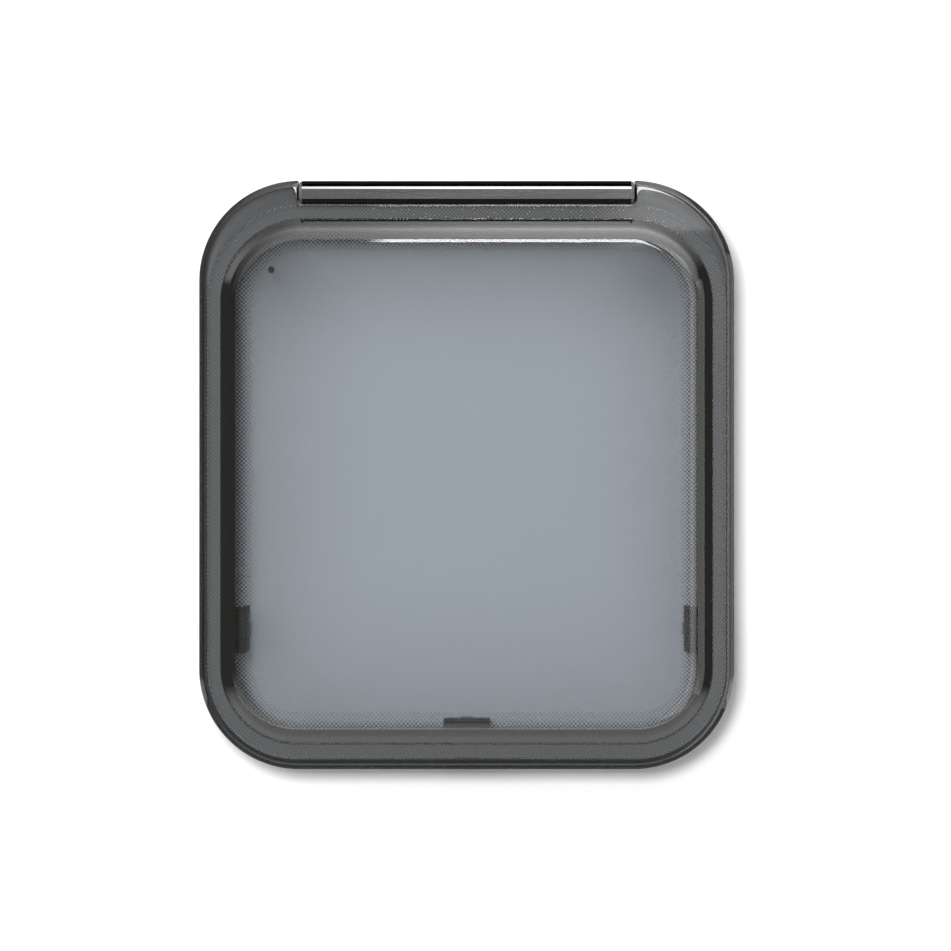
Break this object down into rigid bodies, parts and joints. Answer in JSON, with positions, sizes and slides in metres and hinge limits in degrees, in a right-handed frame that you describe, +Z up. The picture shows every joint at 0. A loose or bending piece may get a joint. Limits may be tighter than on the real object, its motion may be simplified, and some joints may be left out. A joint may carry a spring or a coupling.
{
  "type": "caravan window",
  "caption": "Top-hung double-glazed caravan window: smoked acrylic pane with a raised field, bonded inner tray, aluminium hinge in a top notch, and lever latches.",
  "frame": {"origin": "on the wall side of the hinge rail, at its middle, level with the hinge axis", "axes": "+X along the hinge to the right as seen from outside, +Y into the vehicle, +Z up; the outside of the window faces -Y"},
  "size_m": [0.5, 0.081, 0.55],
  "materials": {
    "smoked_acrylic": "polished smoked acrylic with a printed dot border",
    "inner_acrylic": "polished, nearly clear acrylic",
    "adhesive": "pale cured adhesive",
    "black_rubber": "matt extruded rubber",
    "anodised_aluminium": "satin anodised",
    "black_plastic": "fine-grained moulding",
    "grey_plastic": "smooth moulding",
    "pin_steel": "plain pin"
  },
  "bodies": {
    "root": {"outer_pane": "smoked_acrylic", "inner_pane": "inner_acrylic", "bond_seam": "adhesive", "vent_plug": "black_rubber", "hinge_rail": "anodised_aluminium", "sash_hinge_profile": "anodised_aluminium", "rail_seal": "black_rubber", "gap_seal": "black_rubber", "hinge_end_cap_left": "grey_plastic", "hinge_end_cap_right": "grey_plastic", "latch_base_left": "black_plastic", "latch_base_right": "black_plastic", "latch_base_bottom": "black_plastic", "latch_pin_left": "pin_steel", "latch_pin_right": "pin_steel", "latch_pin_bottom": "pin_steel", "latch_handle_left": "black_plastic", "latch_handle_right": "black_plastic", "latch_handle_bottom": "black_plastic", "latch_button_left": "grey_plastic", "latch_button_right": "grey_plastic", "latch_button_bottom": "grey_plastic"}
  },
  "joints": []
}
